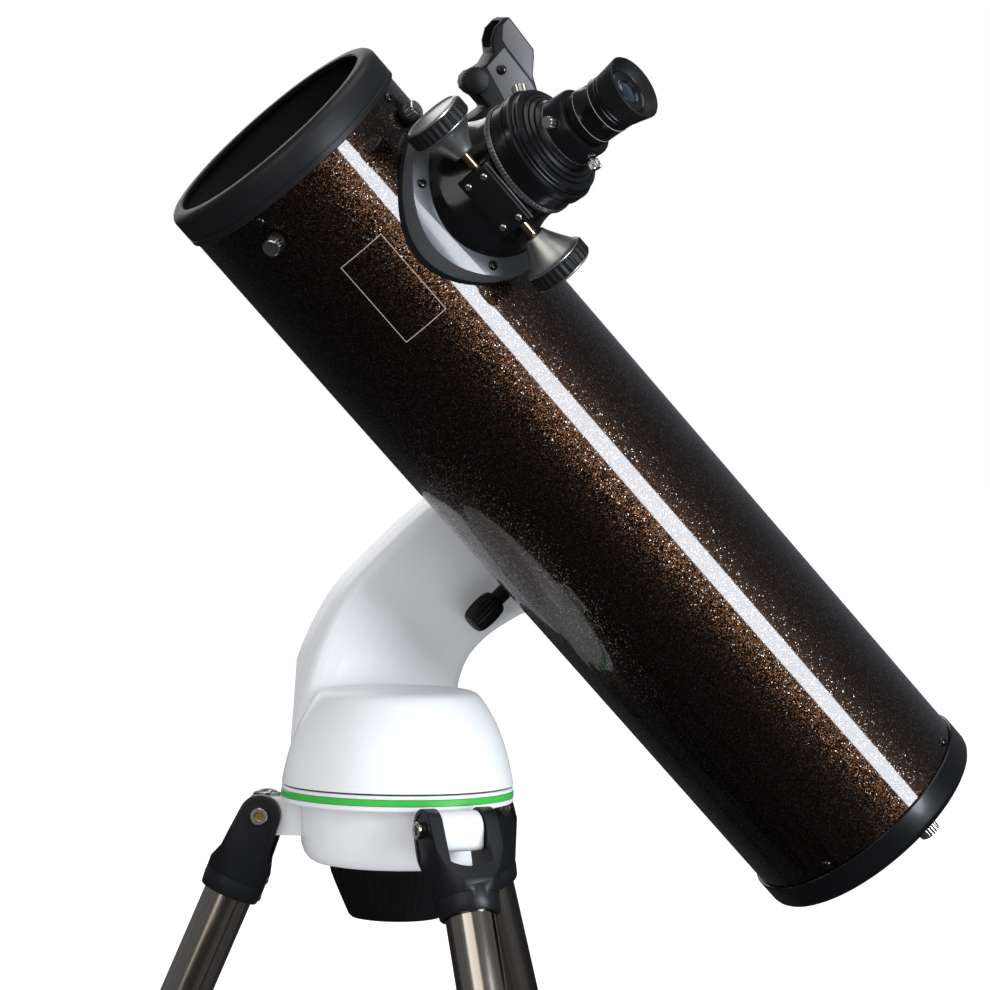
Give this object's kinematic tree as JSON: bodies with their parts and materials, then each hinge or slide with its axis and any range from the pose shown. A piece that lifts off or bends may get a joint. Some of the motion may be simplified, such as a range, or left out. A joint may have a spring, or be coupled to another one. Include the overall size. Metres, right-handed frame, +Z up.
{
  "type": "newtonian reflector telescope",
  "caption": "Newtonian reflector telescope on a single-arm altazimuth mount with a tilting saddle, rack focuser and finder, on a folding three-leg tripod with an accessory tray.",
  "frame": {"origin": "on the ground under the middle of the whole instrument's box", "axes": "+Z up, the tube's open end leans towards -X and up, the mount's arm stands on the +Y side of the tube"},
  "size_m": [0.7336, 0.624, 1.1818],
  "materials": {
    "white_plastic": "satin moulded shell",
    "green_accent": "satin",
    "level_vial": "clear capsule",
    "black_plastic": "fine moulded texture",
    "charcoal_plastic": "satin",
    "leg_steel": "polished tube",
    "bright_steel": "polished",
    "foot_rubber": "matt",
    "tube_paint": "metallic gloss",
    "ring_plastic": "grained",
    "black_cast": "black coated casting",
    "vane_metal": "black vanes with bright nuts",
    "wheel_metal": "turned wheels with rubber grips",
    "mirror_coating": "polished",
    "gear_brass": "machined",
    "shaft_steel": "machined"
  },
  "bodies": {
    "tripod_head": {"tripod_hub": "white_plastic", "accent_ring": "green_accent", "bubble_level": "level_vial", "azimuth_gear": "gear_brass", "leg_pivot_bolt_1": "bright_steel", "leg_pivot_bolt_2": "bright_steel", "leg_pivot_bolt_3": "bright_steel"},
    "mount_knob_body": {"mount_knob": "black_plastic"},
    "leg_1": {"leg_clevis_1": "charcoal_plastic", "upper_leg_1": "leg_steel", "leg_collar_1": "charcoal_plastic"},
    "lower_leg_body_1": {"lower_leg_1": "leg_steel", "leg_foot_1": "foot_rubber"},
    "leg_clamp_1": {"leg_clamp_knob_1": "black_plastic"},
    "strut_1": {"spreader_strut_1": "black_plastic"},
    "leg_2": {"leg_clevis_2": "charcoal_plastic", "upper_leg_2": "leg_steel", "leg_collar_2": "charcoal_plastic"},
    "lower_leg_body_2": {"lower_leg_2": "leg_steel", "leg_foot_2": "foot_rubber"},
    "leg_clamp_2": {"leg_clamp_knob_2": "black_plastic"},
    "strut_2": {"spreader_strut_2": "black_plastic"},
    "leg_3": {"leg_clevis_3": "charcoal_plastic", "upper_leg_3": "leg_steel", "leg_collar_3": "charcoal_plastic"},
    "lower_leg_body_3": {"lower_leg_3": "leg_steel", "leg_foot_3": "foot_rubber"},
    "leg_clamp_3": {"leg_clamp_knob_3": "black_plastic"},
    "strut_3": {"spreader_strut_3": "black_plastic"},
    "spreader": {"spreader_hub": "black_plastic", "accessory_tray": "charcoal_plastic"},
    "tray_knob_body": {"tray_knob": "black_plastic"},
    "mount_arm": {"base_dome": "white_plastic", "arm_front_shell": "white_plastic", "arm_rear_shell": "white_plastic", "azimuth_motor": "shaft_steel"},
    "switch_rocker": {"power_switch": "black_plastic"},
    "saddle_body": {"saddle": "black_cast", "altitude_shaft": "shaft_steel"},
    "saddle_clamp": {"saddle_knob": "black_plastic"},
    "telescope": {"dovetail_bar": "black_cast", "optical_tube": "tube_paint", "front_ring": "ring_plastic", "rear_cell": "black_plastic", "mirror_cell": "black_cast", "primary_mirror": "mirror_coating", "spider": "vane_metal", "secondary_holder": "black_plastic", "secondary_mirror": "mirror_coating", "focuser_base": "black_cast", "finder_body": "black_plastic"},
    "collimation_1": {"collimation_knob_1": "bright_steel"},
    "collimation_2": {"collimation_knob_2": "bright_steel"},
    "collimation_3": {"collimation_knob_3": "bright_steel"},
    "focus_tube": {"drawtube": "black_cast", "eyepiece_holder": "black_cast"},
    "focus_wheels": {"focus_pinion": "wheel_metal"},
    "eyepiece_body": {"eyepiece": "black_plastic"},
    "set_screw": {"eyepiece_set_screw": "bright_steel"},
    "finder_wheel": {"finder_dial": "black_plastic"}
  },
  "joints": [
    {"name": "azimuth_turn", "type": "hinge", "parent": "tripod_head", "child": "mount_arm", "pos_m": [-0.00944, 0.07372, 0.69], "axis": [0, 0, 1], "continuous": true},
    {"name": "mount_knob_turn", "type": "hinge", "parent": "tripod_head", "child": "mount_knob_body", "pos_m": [-0.00944, 0.07372, 0.625], "axis": [0, 0, 1], "continuous": true},
    {"name": "altitude_tilt", "type": "hinge", "parent": "mount_arm", "child": "saddle_body", "pos_m": [0.12566, 0.12872, 0.8544], "axis": [0, 1, 0], "range_deg": [-51.3, 24.5]},
    {"name": "tube_slide", "type": "slide", "parent": "saddle_body", "child": "telescope", "axis": [-0.6904, 0, 0.7234], "range_m": [0, 0.05]},
    {"name": "saddle_knob_turn", "type": "hinge", "parent": "saddle_body", "child": "saddle_clamp", "pos_m": [0.06778, 0.12192, 0.79917], "axis": [-0.7234, 0, -0.6904], "continuous": true},
    {"name": "focus_travel", "type": "slide", "parent": "telescope", "child": "focus_tube", "axis": [0.4962, -0.7278, 0.4735], "range_m": [-0.005, 0.033]},
    {"name": "focus_wheel_turn", "type": "hinge", "parent": "telescope", "child": "focus_wheels", "pos_m": [0.00155, -0.07127, 1.0644], "axis": [-0.6904, 0, 0.7234], "range_deg": [-430, 90]},
    {"name": "eyepiece_pull", "type": "slide", "parent": "focus_tube", "child": "eyepiece_body", "axis": [0.4962, -0.7278, 0.4735], "range_m": [0, 0.03]},
    {"name": "set_screw_turn", "type": "hinge", "parent": "focus_tube", "child": "set_screw", "pos_m": [0.02314, -0.1009, 1.10712], "axis": [-0.8399, -0.5404, 0.0495], "continuous": true},
    {"name": "collimation_turn_1", "type": "hinge", "parent": "telescope", "child": "collimation_1", "pos_m": [0.32073, -0.0217, 0.66458], "axis": [0.6904, 0, -0.7234], "range_deg": [-360, 360]},
    {"name": "collimation_turn_2", "type": "hinge", "parent": "telescope", "child": "collimation_2", "pos_m": [0.27401, 0.05526, 0.61999], "axis": [0.6904, 0, -0.7234], "range_deg": [-360, 360]},
    {"name": "collimation_turn_3", "type": "hinge", "parent": "telescope", "child": "collimation_3", "pos_m": [0.34558, 0.0727, 0.6883], "axis": [0.6904, 0, -0.7234], "range_deg": [-360, 360]},
    {"name": "finder_dial_turn", "type": "hinge", "parent": "telescope", "child": "finder_wheel", "pos_m": [0.01318, 0.0084, 1.13894], "axis": [-0.0882, -0.9925, -0.0841], "range_deg": [0, 300]},
    {"name": "power_switch_rock", "type": "hinge", "parent": "mount_arm", "child": "switch_rocker", "pos_m": [0.00256, 0.17672, 0.73], "axis": [0, 0, 1], "range_deg": [0, 20]},
    {"name": "leg_fold_1", "type": "hinge", "parent": "tripod_head", "child": "leg_1", "pos_m": [-0.08895, 0.10829, 0.6694], "axis": [-0.3987, -0.9171, 0], "range_deg": [0, 20.7]},
    {"name": "leg_extend_1", "type": "slide", "parent": "leg_1", "child": "lower_leg_body_1", "axis": [-0.3539, 0.1539, -0.9225], "range_m": [0, 0.36]},
    {"name": "leg_clamp_turn_1", "type": "hinge", "parent": "leg_1", "child": "leg_clamp_1", "pos_m": [-0.31853, 0.20812, 0.14867], "axis": [-0.846, 0.3679, 0.3859], "continuous": true},
    {"name": "strut_swing_1", "type": "hinge", "parent": "leg_1", "child": "strut_1", "pos_m": [-0.26543, 0.18503, 0.13421], "axis": [-0.3987, -0.9171, 0], "range_deg": [0, 34]},
    {"name": "leg_fold_2", "type": "hinge", "parent": "tripod_head", "child": "leg_2", "pos_m": [0.00037, -0.01242, 0.6694], "axis": [0.9936, 0.1132, 0], "range_deg": [0, 20.7]},
    {"name": "leg_extend_2", "type": "slide", "parent": "leg_2", "child": "lower_leg_body_2", "axis": [0.0437, -0.3834, -0.9225], "range_m": [0, 0.36]},
    {"name": "leg_clamp_turn_2", "type": "hinge", "parent": "leg_2", "child": "leg_clamp_2", "pos_m": [0.02871, -0.26116, 0.14867], "axis": [0.1044, -0.9166, 0.3859], "continuous": true},
    {"name": "strut_swing_2", "type": "hinge", "parent": "leg_2", "child": "strut_2", "pos_m": [0.02216, -0.20363, 0.13421], "axis": [0.9936, 0.1132, 0], "range_deg": [0, 34]},
    {"name": "leg_fold_3", "type": "hinge", "parent": "tripod_head", "child": "leg_3", "pos_m": [0.06025, 0.12529, 0.6694], "axis": [-0.5948, 0.8039, 0], "range_deg": [0, 20.7]},
    {"name": "leg_extend_3", "type": "slide", "parent": "leg_3", "child": "lower_leg_body_3", "axis": [0.3102, 0.2295, -0.9225], "range_m": [0, 0.36]},
    {"name": "leg_clamp_turn_3", "type": "hinge", "parent": "leg_3", "child": "leg_clamp_3", "pos_m": [0.26149, 0.2742, 0.14867], "axis": [0.7416, 0.5487, 0.3859], "continuous": true},
    {"name": "strut_swing_3", "type": "hinge", "parent": "leg_3", "child": "strut_3", "pos_m": [0.21495, 0.23976, 0.13421], "axis": [-0.5948, 0.8039, 0], "range_deg": [0, 34]},
    {"name": "spreader_rise", "type": "slide", "parent": "tripod_head", "child": "spreader", "axis": [0, 0, 1], "range_m": [0, 0.102]},
    {"name": "tray_knob_turn", "type": "hinge", "parent": "spreader", "child": "tray_knob_body", "pos_m": [-0.00944, 0.07372, 0.30439], "axis": [0, 0, 1], "continuous": true}
  ],
  "couplings": [
    {"joint": "focus_wheel_turn", "follows": "focus_travel", "rad_per_m": -215},
    {"joint": "leg_fold_2", "follows": "leg_fold_1", "ratio": 1},
    {"joint": "leg_fold_3", "follows": "leg_fold_1", "ratio": 1},
    {"joint": "strut_swing_1", "follows": "leg_fold_1", "ratio": 1.565},
    {"joint": "strut_swing_2", "follows": "leg_fold_1", "ratio": 1.565},
    {"joint": "strut_swing_3", "follows": "leg_fold_1", "ratio": 1.565},
    {"joint": "spreader_rise", "follows": "leg_fold_1", "m_per_rad": 0.276}
  ]
}
